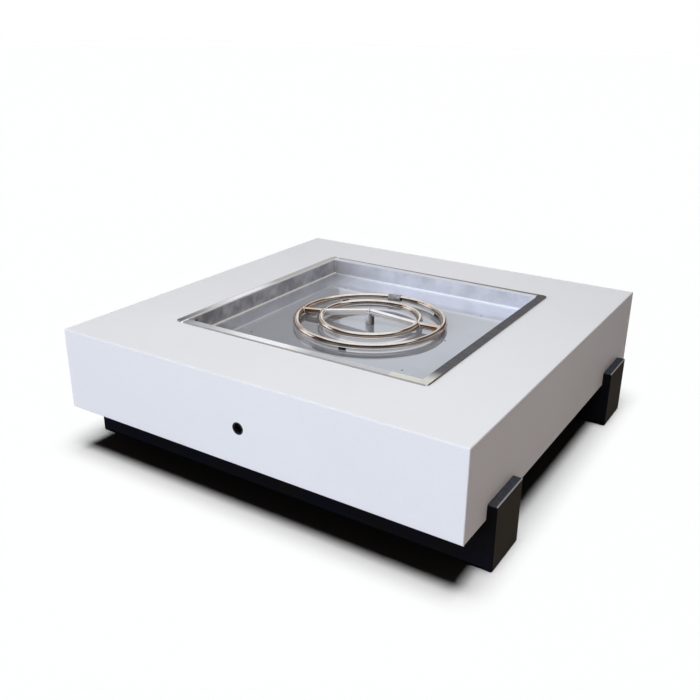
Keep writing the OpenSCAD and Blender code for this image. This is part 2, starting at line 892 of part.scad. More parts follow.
module valve_stem() {
    color(stainless)
    at_valve() to_front() {
        intersection() {
            translate([0, 0, ball_r - tang_h + slip_gap]) cylinder(r = stem_r, h = tang_h);
            cube([stem_d, tang_w, 2 * ball_d], center = true);
        }
        translate([0, 0, stem_foot]) cylinder(r = stem_r, h = stem_shoulder - stem_foot);
        intersection() {
            translate([0, 0, stem_shoulder - overcut]) cylinder(r = stem_r, h = stem_square_len + overcut);
            translate([-stem_square / 2, -stem_square / 2, 0]) cube([stem_square, stem_square, stem_front]);
        }
    }
}

module stem_packing() {
    color(seal_white)
    at_valve() to_front() translate([0, 0, neck_front - packing_len]) difference() {
        cylinder(r = stem_r + packing_w, h = packing_len - slip_gap);
        translate([0, 0, -overcut]) cylinder(r = stem_r + fit_gap, h = packing_len + 2 * overcut);
    }
}

module packing_nut() {
    color(brass)
    at_valve() to_front() translate([0, 0, neck_front - packing_nut_skirt]) difference() {
        hex(packing_nut_af, packing_nut_skirt + slip_gap + packing_nut_face);
        translate([0, 0, -overcut])
            cylinder(d = neck_d + 2 * fit_gap, h = packing_nut_skirt + slip_gap + overcut);
        cylinder(r = stem_r + slip_gap, h = 2 * neck_len);
    }
}

module neck_locknut() {
    color(zinc)
    at_valve() to_front() translate([0, 0, boss_len + bracket_t]) difference() {
        hex(neck_nut_af, neck_nut_t);
        translate([0, 0, -overcut]) cylinder(d = neck_d + 2 * fit_gap, h = neck_nut_t + 2 * overcut);
    }
}

// Angle bracket that stands on the front foot flange and carries the valve by its neck
module valve_bracket() {
    base_z = leg_h + sheet;
    color(zinc)
    difference() {
        union() {
            translate([-bracket_w / 2, bracket_y, base_z])
                cube([bracket_w, bracket_t, key_z + bracket_rise - base_z]);
            translate([-bracket_w / 2, foot_y, base_z])
                cube([bracket_w, bracket_y + bracket_t - foot_y, bracket_t]);
        }
        at_valve() to_front() cylinder(d = neck_d + 2 * slip_gap, h = boss_len + bracket_t + overcut);
        at_bracket_screws() cylinder(d = screw_d + 2 * hole_gap, h = sheet + bracket_t + overcut);
    }
}

module bracket_screws() {
    color(zinc)
    at_bracket_screws() {
        translate([0, 0, -screw_head_h]) cylinder(d = screw_head_d, h = screw_head_h);
        translate([0, 0, -screw_head_h / 2])
            cylinder(d = screw_d, h = screw_head_h / 2 + sheet + bracket_t + 2 * screw_nut_t);
    }
}

module bracket_nuts() {
    color(zinc)
    at_bracket_screws() translate([0, 0, sheet + bracket_t]) difference() {
        hex(screw_nut_af, screw_nut_t);
        translate([0, 0, -overcut]) cylinder(d = screw_d + 2 * fit_gap, h = screw_nut_t + 2 * overcut);
    }
}

// Black bushing that lines the key hole, flush with the front
module key_bushing() {
    color(rubber_black)
    translate([0, -housing_d / 2, key_z]) to_back() difference() {
        union() {
            cylinder(d = key_hole_d - 2 * fit_gap, h = bush_len);
            translate([0, 0, sheet]) cylinder(d = key_hole_d + 2 * bush_shoulder, h = bush_wall);
        }
        translate([0, 0, -overcut]) cylinder(d = key_hole_d - 2 * bush_wall, h = bush_len + 2 * overcut);
    }
}

top_panel();
front_panel();
rear_panel();
left_panel();
right_panel();
front_leg_beam();
rear_leg_beam();
front_left_upright();
front_right_upright();
rear_left_upright();
rear_right_upright();
foot_pads();
leg_bolts();
leg_washers();
leg_rivet_nuts();
burner_pan();
outer_ring();
inner_ring();
left_spoke();
right_spoke();
left_stub();
right_stub();
riser_pipe();
ring_sleeve();
burner_feet();
riser_washer();
riser_locknut();
burner_elbow();
air_mixer();
burner_hose_nut();
gas_hose();
valve_hose_nut();
outlet_elbow();
inlet_fitting();
valve_body();
valve_retainer();
valve_seats();
valve_ball();
valve_stem();
stem_packing();
packing_nut();
neck_locknut();
valve_bracket();
bracket_screws();
bracket_nuts();
key_bushing();
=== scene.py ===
import math
import bmesh
import bpy
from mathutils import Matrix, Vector


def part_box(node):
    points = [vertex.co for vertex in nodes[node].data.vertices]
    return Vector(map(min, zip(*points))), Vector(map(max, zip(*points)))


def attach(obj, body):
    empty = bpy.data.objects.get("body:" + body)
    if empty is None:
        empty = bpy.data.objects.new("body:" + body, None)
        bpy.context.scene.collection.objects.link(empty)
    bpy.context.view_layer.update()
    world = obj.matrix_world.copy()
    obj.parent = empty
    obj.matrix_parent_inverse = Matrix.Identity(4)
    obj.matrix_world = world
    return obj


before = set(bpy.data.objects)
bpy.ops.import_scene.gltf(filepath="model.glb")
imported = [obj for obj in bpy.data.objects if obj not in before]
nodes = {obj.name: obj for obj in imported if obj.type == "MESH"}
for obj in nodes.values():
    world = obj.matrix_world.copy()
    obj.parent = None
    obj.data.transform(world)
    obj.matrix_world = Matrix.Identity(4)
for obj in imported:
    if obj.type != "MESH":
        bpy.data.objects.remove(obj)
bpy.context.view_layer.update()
print("frame loaded with", len(nodes), "nodes")


# helpers for building materials

noiseSpan = (0.3, 0.7)      # most values of a noise texture lie between these


def plug(tree, node, inputs):
    for key, value in inputs.items():
        if isinstance(value, bpy.types.NodeSocket):
            tree.links.new(value, node.inputs[key])
        else:
            node.inputs[key].default_value = value


def put(tree, kind, inputs=None, **settings):
    node = tree.nodes.new(kind)
    for key, value in settings.items():
        setattr(node, key, value)
    plug(tree, node, inputs or {})
    return node


def startMaterial(name):
    mat = bpy.data.materials.new(name)
    mat.use_nodes = True
    tree = mat.node_tree
    coords = put(tree, "ShaderNodeTexCoord").outputs["Object"]  # metres, in the frame
    return mat, tree, tree.nodes["Principled BSDF"], coords


def split(tree, coords):
    return put(tree, "ShaderNodeSeparateXYZ", {"Vector": coords}).outputs


# how much a face looks up: 1 on top, 0 on a side, -1 underneath
def upward(tree, normal):
    return split(tree, put(tree, "ShaderNodeNewGeometry").outputs[normal])["Z"]


def distanceTo(tree, coords, place):
    gap = put(tree, "ShaderNodeVectorMath", {0: coords, 1: place}, operation="DISTANCE")
    return gap.outputs["Value"]


def noise(tree, coords, scale, detail, stretch=None):
    if stretch:
        mapping = put(tree, "ShaderNodeMapping", {"Vector": coords, "Scale": stretch})
        coords = mapping.outputs["Vector"]
    texture = put(tree, "ShaderNodeTexNoise", {"Vector": coords, "Scale": scale, "Detail": detail})
    return texture.outputs["Fac"]


def ramp(tree, value, low, high, lowEnd=0.0, highEnd=1.0):
    spread = put(tree, "ShaderNodeMapRange", {"Value": value, "From Min": low, "From Max": high,
                                              "To Min": lowEnd, "To Max": highEnd})
    return spread.outputs["Result"]


def vary(tree, texture, lowEnd, highEnd):
    return ramp(tree, texture, *noiseSpan, lowEnd, highEnd)


def combine(tree, operation, first, *others):
    for other in others:
        first = put(tree, "ShaderNodeMath", {0: first, 1: other}, operation=operation).outputs["Value"]
    return first


def allOf(tree, *masks):
    return combine(tree, "MULTIPLY", *masks)


# 1 between two soft limits, 0 outside them
def band(tree, value, rise, fall):
    return allOf(tree, ramp(tree, value, *rise), ramp(tree, value, *fall))


def rgba(colour):
    return (*colour, 1.0)


def mixColour(tree, factor, first, second):
    ends = [end if isinstance(end, bpy.types.NodeSocket) else rgba(end) for end in (first, second)]
    mix = put(tree, "ShaderNodeMix", {0: factor, 6: ends[0], 7: ends[1]}, data_type="RGBA")
    return mix.outputs[2]


def bump(tree, height, distance):
    return put(tree, "ShaderNodeBump", {"Height": height, "Distance": distance}).outputs["Normal"]


def dress(mat, *names):
    for name in names:
        slots = nodes[name].data.materials
        slots.clear()
        slots.append(mat)


softEdge = {
    "merge": 0.00002,       # joins the facets' corners first
    "angle": 50,            # degrees, sharper folds are rounded
    "segments": 2,
}


def softenEdges(name, width):
    piece = nodes[name]
    piece.modifiers.new("join", "WELD").merge_threshold = softEdge["merge"]
    edge = piece.modifiers.new("softEdge", "BEVEL")
    edge.width = width
    edge.segments = softEdge["segments"]
    edge.limit_method = "ANGLE"
    edge.angle_limit = math.radians(softEdge["angle"])
    piece.modifiers.new("shade", "WEIGHTED_NORMAL").keep_sharp = True


# housing: white powder coat with a fine orange peel

whitePowder = {
    "colour": (0.80, 0.81, 0.83),
    "shade": (0.77, 0.78, 0.80),
    "shadeSpan": (0.35, 0.65),
    "peelScale": 230,                   # bumps a few mm apart
    "peelHeight": 0.00022,
    "peelShare": 0.6,                   # of the change in tone
    "cloudScale": 5,
    "cloudShare": 0.4,
    "edge": (0.66, 0.67, 0.69),         # painted shade: the rounded edges are darkened, where both lamps light them
    "edgeShadeUpward": [(0.1, 0.4), (0.99, 0.85)],
    "rough": (0.42, 0.54),
    "specular": 0.05,
    "on": ["top_panel", "front_panel", "rear_panel", "left_panel", "right_panel"],
}


def makeWhitePowder():
    look = whitePowder
    mat, tree, shader, coords = startMaterial("whitePowder")
    peel = noise(tree, coords, look["peelScale"], detail=2.0)
    clouds = noise(tree, coords, look["cloudScale"], detail=4.0)
    peelTone = ramp(tree, peel, *look["shadeSpan"], 0.0, look["peelShare"])
    cloudTone = ramp(tree, clouds, *look["shadeSpan"], 0.0, look["cloudShare"])
    tone = combine(tree, "ADD", peelTone, cloudTone)
    colour = mixColour(tree, tone, look["shade"], look["colour"])
    # painted shade on the rounded edges, chosen by how far they face up
    rounded = band(tree, upward(tree, "Normal"), *look["edgeShadeUpward"])
    plug(tree, shader, {
        "Base Color": mixColour(tree, rounded, colour, look["edge"]),
        "Roughness": vary(tree, clouds, *look["rough"]),
        "Normal": bump(tree, peel, look["peelHeight"]),
        "Specular IOR Level": look["specular"],
    })
    return mat


dress(makeWhitePowder(), *whitePowder["on"])
print("housing painted")


# legs: black powder coat

blackPowder = {
    "colour": (0.0068, 0.0068, 0.0102),
    "worn": (0.008, 0.0072, 0.0062),
    "wearScale": 9,
    "wearSpan": (0.42, 0.7),
    "sheenAndDust": (0.086, 0.094, 0.114),      # dust that settles on what faces up, and painted sheen of the sky on it
    "sheenAndDustUpward": (0.5, 0.9),
    "sheenAndDustPatches": (0.5, 1.0),
    "paintedOuterReflection": (0.062, 0.056, 0.046),      # painted reflection: brown on the uprights' outer faces
    "outerReflectionDepth": (0.0004, 0.0001),
    "edgeShine": (0.52, 0.53, 0.56),    # painted highlight along the outer edge on top of an upright
    "edgeLine": (0.0031, 0.0023),
    "ior": 1.1,
    "specular": 0.012,
    "rough": (0.34, 0.46),
    "grainScale": 420,
    "grainHeight": 0.0001,
    "edge": 0.0009,
    "on": ["front_leg_beam", "rear_leg_beam", "front_left_upright", "front_right_upright",
           "rear_left_upright", "rear_right_upright"],
}


def makeBlackPowder():
    look = blackPowder
    mat, tree, shader, coords = startMaterial("blackPowder")
    grain = noise(tree, coords, look["grainScale"], detail=2.0)
    wear = noise(tree, coords, look["wearScale"], detail=5.0)
    colour = mixColour(tree, ramp(tree, wear, *look["wearSpan"]), look["colour"], look["worn"])
    # dust and painted sheen on the faces that look up
    lying = ramp(tree, upward(tree, "True Normal"), *look["sheenAndDustUpward"])
    sheenAndDustMask = allOf(tree, lying, vary(tree, grain, *look["sheenAndDustPatches"]))
    colour = mixColour(tree, sheenAndDustMask, colour, look["sheenAndDust"])
    x, y, z = split(tree, coords)
    aside = put(tree, "ShaderNodeMath", {0: x}, operation="ABSOLUTE").outputs["Value"]
    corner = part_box("front_right_upright")[1]
    # painted brown reflection on the uprights' outer faces
    onOuter = ramp(tree, aside, *[corner.x - depth for depth in look["outerReflectionDepth"]])
    colour = mixColour(tree, onOuter, colour, look["paintedOuterReflection"])
    # painted highlight along the uprights' top outer edges
    cornerLine = [corner.x + corner.z - depth for depth in look["edgeLine"]]
    shine = ramp(tree, combine(tree, "ADD", aside, z), *cornerLine)
    plug(tree, shader, {
        "Base Color": mixColour(tree, shine, colour, look["edgeShine"]),
        "Roughness": vary(tree, wear, *look["rough"]),
        "Normal": bump(tree, grain, look["grainHeight"]),
        "Specular IOR Level": look["specular"],
        "IOR": look["ior"],
    })
    return mat


dress(makeBlackPowder(), *blackPowder["on"])
for legNode in blackPowder["on"]:
    softenEdges(legNode, blackPowder["edge"])
print("legs painted")


# burner: where its tubes run, taken from the frame

burner = {
    "spokeAngle": 11,       # degrees from +X
    "apexDrop": 0.0081,     # from the top of the spokes to their axis, where they meet
}


def ringOf(name):
    low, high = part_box(name)
    tube = (high.z - low.z) / 2
    return {"radius": (high.x - low.x) / 2 - tube, "tube": tube, "centre": (low + high) / 2}


outerRing = ringOf("outer_ring")
innerRing = ringOf("inner_ring")
apex = innerRing["centre"].copy()
apex.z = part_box("right_spoke")[1].z - burner["apexDrop"]


# level direction, in degrees from +X
def heading(degrees):
    angle = math.radians(degrees)
    return Vector((math.cos(angle), math.sin(angle), 0))


def ringPoint(ring, degrees):
    return ring["centre"] + heading(degrees) * ring["radius"]


# the heat colours are strongest at these
def weldSpots():
    spots = []
    for angle in (burner["spokeAngle"], burner["spokeAngle"] + 180):
        spots.append(ringPoint(outerRing, angle))
        spots.append((ringPoint(innerRing, angle) + 2 * ringPoint(outerRing, angle)) / 3)
    return spots


# burner pan: bright rolled stainless, stained on the walls and scuffed along the rim, with reflections,
# highlights and shade painted on its floor, walls and rim

panSteel = {
    "sheet": 0.0015,
    "rimWidth": 0.021,                  # from the outer edge to the walls' faces
    "wallGap": 0.0025,                  # the walls' tone begins this far in front of them
    "wallFade": 0.001,
    "rimDepth": (0.0035, 0.0025),       # below the rim's top
    "bright": (0.445, 0.475, 0.53),
    "dull": (0.39, 0.415, 0.46),
    "dullSpan": (0.38, 0.7),
    "cloudScale": 6,
    "paintedFloorReflections": {                   # painted reflections on the floor, each fades along X and Y
        "leftHalf": {"colour": (0.345, 0.352, 0.38), "x": [(-0.02, -0.3)], "y": []},
        "leftStrip": {"colour": (0.60, 0.635, 0.71), "x": [(-0.231, -0.246)], "y": [(-0.235, -0.19)]},
        "leftGlint": {"colour": (0.93, 0.96, 1.0), "x": [(-0.257, -0.252), (-0.243, -0.248)],
                      "y": [(0.33, 0.0)]},
        "backStrip": {"colour": (0.90, 0.93, 1.0), "x": [(-0.30, -0.225)], "y": [(0.185, 0.24)]},
    },
    "ringLightStrip": {                      # painted light: a bright strip of floor beside each ring, which the tube's underside mirrors
        "colour": (0.72, 0.725, 0.745),
        "angle": -57,                   # degrees from +X, the side it lies on
        "shift": 0.68,                  # times the ring's height above the floor
        "width": (0.46, 0.26),
        "fade": (0.06, -0.02),          # from the pan's middle, fainter behind it
        "faint": 0.35,
    },
    "leftWall": {
        "stained": [(0.27, 0.265, 0.275), (0.68, 0.675, 0.70)],
        "stainSpan": (0.38, 0.66),
        "back": (0.52, 0.515, 0.53),
        "backFrom": -0.1,
        "backShare": 0.4,
        "foot": (0.95, 0.93, 0.89),     # painted highlight along the fold
        "burn": {"place": (-0.312, -0.281, 0.2955), "size": (0.005, 0.003),
                 "colour": (0.012, 0.011, 0.01)},
    },
    "backWall": {
        "stained": [(0.56, 0.57, 0.62), (0.73, 0.742, 0.80)],
        "stainSpan": (0.35, 0.68),
        # painted shade towards the corner with the left wall
        "left": (0.37, 0.35, 0.35),
        "leftFade": (-0.10, -0.31),
        "leftShare": 0.85,
        # painted highlight along the back wall's fold
        "foot": (0.70, 0.705, 0.74),
    },
    "stainScale": 22,
    "footHeight": (0.0042, 0.00336),    # above the floor
    "innerEdgeHighlight": (0.80, 0.80, 0.82),    # painted highlight where the left wall folds into the rim
    "innerEdgeLine": (0.0035, 0.0029),
    # each side of the rim: a painted reflection tone, painted shade towards the front-left corner and a
    # painted highlight where it shines
    "frontRim": {"plain": (0.50, 0.51, 0.535), "corner": (0.14, 0.14, 0.16),
                 "cornerShadeFade": (-0.265, -0.335), "rimHighlight": (0.965, 0.965, 0.975),
                 "rimHighlightFrom": (-0.24, -0.12), "rimHighlightTo": (0.05, -0.02)},
    "leftRim": {"plain": (0.48, 0.465, 0.43), "corner": (0.12, 0.12, 0.13),
                "cornerShadeFade": (-0.20, -0.32), "rimHighlight": (0.95, 0.95, 0.955),
                "rimHighlightFrom": (-0.24, -0.12), "rimHighlightTo": (0.05, -0.03)},
    "rimEndHighlight": (0.655, 0.64, 0.59),      # painted highlight on the right end of the front rim
    "rimEndHighlightFrom": (0.24, 0.245),
    # painted dark reflection on the right rim, streaked along its grain
    "rightRim": [(0.050, 0.048, 0.052), (0.118, 0.114, 0.121)],
    "rightRimFrom": (0.005, 0.05),      # behind the front wall
    "streakSpan": (0.32, 0.68),
    # painted reflection tone of the back rim
    "backRim": (0.60, 0.61, 0.645),
    # painted shade: dark lines along the rim's outer edges, under its lip
    "edgeTone": (0.30, 0.275, 0.25),
    "rightEdgeTone": (0.12, 0.113, 0.11),
    "edgeLine": (0.0016, 0.00112),
    "backEdgeTone": (0.10, 0.09, 0.066),
    "backEdgeLine": (0.005, 0.012),     # wider to the right
    "backEdgeFade": 0.0008,
    "floorRough": (0.035, 0.075),
    "wallRough": 0.3,
    "rimRough": 0.35,
    "rightRimRough": 0.75,
    "metal": (0.62, 0.1),               # clean floor, then the scuffed rim
    "wallScuff": 0.5,                   # the walls lie between those two
    "grain": (3, 300, 90),              # streaks along X
    "crossGrain": (20, 420, 20),
    "grainHeight": 0.000004,
    "edge": 0.0005,
}

panLow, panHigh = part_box("burner_pan")
panMiddle = (panLow + panHigh) / 2
panFloor = panLow.z + panSteel["sheet"]     # its upper face
wallFace = (panHigh.x - panLow.x) / 2 - panSteel["rimWidth"]    # from the pan's middle
wallStart = wallFace - panSteel["wallGap"]


# where the painted light strip beside a ring lies
def stripMask(tree, flat, y, ring):
    strip = panSteel["ringLightStrip"]
    rise = ring["centre"].z - panFloor
    middle = Vector((ring["centre"].x, ring["centre"].y, 0))
    middle += heading(strip["angle"]) * strip["shift"] * rise
    outer = [ring["radius"] + width * rise for width in strip["width"]]
    inner = [ring["radius"] - width * rise for width in strip["width"]]
    onStrip = band(tree, distanceTo(tree, flat, middle), outer, inner)
    fade = [panMiddle.y + place for place in strip["fade"]]
    return allOf(tree, onStrip, ramp(tree, y, *fade, strip["faint"], 1.0))


def panFloorTone(tree, coords, x, y):
    look = panSteel
    cloud = noise(tree, coords, look["cloudScale"], detail=4.0)
    tone = mixColour(tree, ramp(tree, cloud, *look["dullSpan"]), look["bright"], look["dull"])
    # painted reflections of the walls and the rim
    for patch in look["paintedFloorReflections"].values():
        fades = [ramp(tree, x, *limits) for limits in patch["x"]]
        fades += [ramp(tree, y, *limits) for limits in patch["y"]]
        tone = mixColour(tree, allOf(tree, *fades), tone, patch["colour"])
    flat = put(tree, "ShaderNodeCombineXYZ", {0: x, 1: y}).outputs[0]
    # painted light strips beside the rings
    for ring in (outerRing, innerRing):
        tone = mixColour(tree, stripMask(tree, flat, y, ring), tone, look["ringLightStrip"]["colour"])
    return tone


def leftWallTone(tree, coords, stain, y):
    look = panSteel["leftWall"]
    tone = mixColour(tree, ramp(tree, stain, *look["stainSpan"]), *look["stained"])
    toBack = ramp(tree, y, look["backFrom"], panMiddle.y + wallStart, 0.0, look["backShare"])
    tone = mixColour(tree, toBack, tone, look["back"])
    burn = look["burn"]
    burnt = ramp(tree, distanceTo(tree, coords, burn["place"]), *burn["size"])
    return mixColour(tree, burnt, tone, burn["colour"])


# tone of the back wall, then of the painted highlight on the fold along its foot
def backWallTones(tree, stain, x):
    look = panSteel["backWall"]
    tone = mixColour(tree, ramp(tree, stain, *look["stainSpan"]), *look["stained"])
    toLeft = ramp(tree, x, *look["leftFade"], 0.0, look["leftShare"])
    return [mixColour(tree, toLeft, plain, look["left"]) for plain in (tone, look["foot"])]


# painted shade towards the corner and a painted highlight along one side of the rim
def rimSideTone(tree, along, look):
    tone = mixColour(tree, ramp(tree, along, *look["cornerShadeFade"]), look["plain"], look["corner"])
    rimHighlight = band(tree, along, look["rimHighlightFrom"], look["rimHighlightTo"])
    return mixColour(tree, rimHighlight, tone, look["rimHighlight"])


def rimTone(tree, coords, atLeft, atRight, atBack):
    look = panSteel
    x, y, z = split(tree, coords)
    streak = noise(tree, coords, 1.0, detail=4.0, stretch=look["crossGrain"])
    # painted highlight on the right end of the front rim
    rimEndHighlight = ramp(tree, x, *look["rimEndHighlightFrom"])
    tone = mixColour(tree, rimEndHighlight, rimSideTone(tree, x, look["frontRim"]), look["rimEndHighlight"])
    # painted reflection tones of the back and right rims
    tone = mixColour(tree, atBack, tone, look["backRim"])
    tone = mixColour(tree, atLeft, tone, rimSideTone(tree, y, look["leftRim"]))
    pastCorner = ramp(tree, y, *[panMiddle.y - wallStart + gap for gap in look["rightRimFrom"]])
    rightTone = mixColour(tree, ramp(tree, streak, *look["streakSpan"]), *look["rightRim"])
    tone = mixColour(tree, allOf(tree, atRight, pastCorner), tone, rightTone)
    # painted shade along the rim's outer edges
    edges = ((x, panHigh.x, "rightEdgeTone"), (x, panLow.x, "edgeTone"), (y, panLow.y, "edgeTone"))
    for value, edge, edgeTone in edges:
        line = [edge - math.copysign(depth, edge) for depth in look["edgeLine"]]
        tone = mixColour(tree, ramp(tree, value, *line), tone, look[edgeTone])
    backLine = combine(tree, "ADD", y, ramp(tree, x, panLow.x, panHigh.x, *look["backEdgeLine"]))
    onBackEdge = ramp(tree, backLine, panHigh.y, panHigh.y + look["backEdgeFade"])
    return mixColour(tree, onBackEdge, tone, look["backEdgeTone"])


def makePanSteel():
    look = panSteel
    mat, tree, shader, coords = startMaterial("panSteel")
    x, y, z = split(tree, coords)
    grain = noise(tree, coords, 1.0, detail=5.0, stretch=look["grain"])
    stain = noise(tree, coords, look["stainScale"], detail=6.0)
    fade = look["wallFade"]
    atLeft = ramp(tree, x, -wallStart + fade, -wallStart - fade)
    atRight = ramp(tree, x, wallStart - fade, wallStart + fade)
    atBack = ramp(tree, y, panMiddle.y + wallStart - fade, panMiddle.y + wallStart + fade)
    onWall = combine(tree, "MAXIMUM", atLeft, atBack)
    onFoot = allOf(tree, onWall, ramp(tree, z, *[panFloor + height for height in look["footHeight"]]))
    onRim = ramp(tree, z, *[panHigh.z - depth for depth in look["rimDepth"]])

    backTone, backFoot = backWallTones(tree, stain, x)
    colour = mixColour(tree, atBack, panFloorTone(tree, coords, x, y), backTone)
    colour = mixColour(tree, atLeft, colour, leftWallTone(tree, coords, stain, y))
    # painted highlight along the walls' folds
    footTone = mixColour(tree, atLeft, backFoot, look["leftWall"]["foot"])
    colour = mixColour(tree, onFoot, colour, footTone)
    colour = mixColour(tree, onRim, colour, rimTone(tree, coords, atLeft, atRight, atBack))
    # painted highlight along the left wall's top edge
    pastFace = ramp(tree, x, *[-wallFace - depth for depth in look["innerEdgeLine"]])
    nearTop = ramp(tree, z, *[panHigh.z - depth for depth in look["innerEdgeLine"]])
    colour = mixColour(tree, allOf(tree, pastFace, nearTop, atLeft), colour, look["innerEdgeHighlight"])

    rough = [vary(tree, grain, *look["floorRough"])]
    onRight = allOf(tree, atRight, onRim)
    for place, amount in ((onWall, "wallRough"), (onRim, "rimRough"), (onRight, "rightRimRough")):
        rough.append(allOf(tree, place, look[amount]))
    scuffed = combine(tree, "MAXIMUM", allOf(tree, onWall, look["wallScuff"]), onRim, onFoot)
    plug(tree, shader, {
        "Base Color": colour,
        "Roughness": combine(tree, "MAXIMUM", *rough),
        "Normal": bump(tree, grain, look["grainHeight"]),
        "Metallic": ramp(tree, scuffed, 0.0, 1.0, *look["metal"]),
    })
    return mat


dress(makePanSteel(), "burner_pan")
softenEdges("burner_pan", panSteel["edge"])
print("pan finished")


# burner: polished stainless tube, with heat colours beside its welds

tubeSteel = {
    "colour": (0.73, 0.64, 0.565),
    "brown": (0.56, 0.465, 0.385),
    "brownSpan": (0.42, 0.75),
    "brownShare": 0.7,
    "smearScale": 30,
    "under": (1.0, 0.89, 0.79),         # painted reflection of the bright floor, lightening the underside
    "underUpward": (0.0, -0.25),
    "straw": (0.64, 0.41, 0.25),
    "strawReach": (0.010, 0.026),       # from a weld
    "strawShare": 0.75,
    "blue": (0.46, 0.41, 0.40),
    "blueReach": (0.022, 0.04),
    "blueShare": 0.55,
    "heatBlur": 0.005,
    "darkSpot": (0.02, 0.015, 0.012),     # dark spot beside the sleeve's end
    "darkSpotAngle": 93.3,
    "darkSpotDepth": 0.9,                 # times the tube's radius, to the ring's inner side
    "darkSpotSize": (0.0048, 0.00288),
    "rough": (0.08, 0.15),
    "metal": 1.0,
    "on": ["outer_ring", "inner_ring", "left_stub", "right_stub"],
}
spokeSteel = {
    **tubeSteel,                        # the spokes are cleaner than the rings
    "colour": (0.80, 0.76, 0.74),
    "brown": (0.70, 0.635, 0.59),
    "metal": 0.62,
    "on": ["left_spoke", "right_spoke"],
}


def makeTubeSteel(name, look):
    mat, tree, shader, coords = startMaterial(name)
    smear = noise(tree, coords, look["smearScale"], detail=5.0)
    brown = ramp(tree, smear, *look["brownSpan"], 0.0, look["brownShare"])
    colour = mixColour(tree, brown, look["colour"], look["brown"])
    # painted reflection on the underside
    under = ramp(tree, upward(tree, "Normal"), *look["underUpward"])
    colour = mixColour(tree, under, colour, look["under"])
    fromWeld = combine(tree, "MINIMUM", *[distanceTo(tree, coords, spot) for spot in weldSpots()])
    blur = vary(tree, smear, -look["heatBlur"], look["heatBlur"])
    fromWeld = combine(tree, "ADD", fromWeld, blur)
    for heat in ("blue", "straw"):
        share = ramp(tree, fromWeld, *look[heat + "Reach"], look[heat + "Share"], 0.0)
        colour = mixColour(tree, share, colour, look[heat])
    spot = ringPoint(outerRing, look["darkSpotAngle"])
    spot += (outerRing["centre"] - spot).normalized() * outerRing["tube"] * look["darkSpotDepth"]
    onDarkSpot = ramp(tree, distanceTo(tree, coords, spot), *look["darkSpotSize"])
    plug(tree, shader, {
        "Base Color": mixColour(tree, onDarkSpot, colour, look["darkSpot"]),
        "Roughness": vary(tree, smear, *look["rough"]),
        "Metallic": look["metal"],
    })
    return mat


dress(makeTubeSteel("tubeSteel", tubeSteel), *tubeSteel["on"])
dress(makeTubeSteel("spokeSteel", spokeSteel), *spokeSteel["on"])
print("burner polished")


# riser: painted reflections, pale on one side and dark brown on the other

riserSteel = {
    "pale": (0.68, 0.68, 0.73),
    "plain": (0.34, 0.30, 0.27),
    "brown": (0.10, 0.083, 0.07),
    "paleTo": (-0.0010, -0.0052),   # from the axis, across the pale side
    "brownFrom": (0.001, 0.005),
    "paleHeight": (0.002, 0.018),   # above the pan's floor
    "sideAngle": 33,                # degrees from +X
    "smearScale": 140,
    "smearBlur": 0.001,
    "metal": 0.35,
    "rough": (0.22, 0.34),
}


def makeRiserSteel():
    look = riserSteel
    mat, tree, shader, coords = startMaterial("riserSteel")
    smear = noise(tree, coords, look["smearScale"], detail=4.0)
    x, y, z = split(tree, coords)
    side = heading(look["sideAngle"])
    alongX = combine(tree, "MULTIPLY", x, side.x)
    alongY = combine(tree, "MULTIPLY", combine(tree, "SUBTRACT", y, innerRing["centre"].y), side.y)
    blur = vary(tree, smear, -look["smearBlur"], look["smearBlur"])
    across = combine(tree, "ADD", alongX, alongY, blur)
    upper = ramp(tree, z, *[panFloor + height for height in look["paleHeight"]])
    # painted reflection, pale on one side
    pale = allOf(tree, ramp(tree, across, *look["paleTo"]), upper)
    colour = mixColour(tree, pale, look["plain"], look["pale"])
    # painted reflection, dark brown on the other side
    brown = ramp(tree, across, *look["brownFrom"])
    plug(tree, shader, {
        "Base Color": mixColour(tree, brown, colour, look["brown"]),
        "Roughness": vary(tree, smear, *look["rough"]),
        "Metallic": look["metal"],
    })
    return mat


dress(makeRiserSteel(), "riser_pipe")
print("riser stained")


# weld beads round the burner's joints

weldBead = {
    "size": 0.0015,         # radius of the bead
    "ripple": 0.16,
    "ripples": 30,
    "steps": 120,
    "sides": 8,
    "crownGap": 0.0028,     # keeps a bead off the ring's crown
    "halvings": 30,         # of the gap, in the search for the ring's skin
    "colour": (0.64, 0.61, 0.58),
    "pale": (0.85, 0.84, 0.82),
    "paleSpan": (0.35, 0.65),
    "speckleScale": 420,
    "speckleHeight": 0.0001,
    "rough": (0.30, 0.46),
    "metal": 0.7,
}


def makeWeldMetal():
    look = weldBead
    mat, tree, shader, coords = startMaterial("weldMetal")
    speckle = noise(tree, coords, look["speckleScale"], detail=3.0)
    pale = ramp(tree, speckle, *look["paleSpan"])
    plug(tree, shader, {
        "Base Color": mixColour(tree, pale, look["colour"], look["pale"]),
        "Roughness": vary(tree, speckle, *look["rough"]),
        "Normal": bump(tree, speckle, look["speckleHeight"]),
        "Metallic": look["metal"],
    })
    return mat


weldMetal = makeWeldMetal()


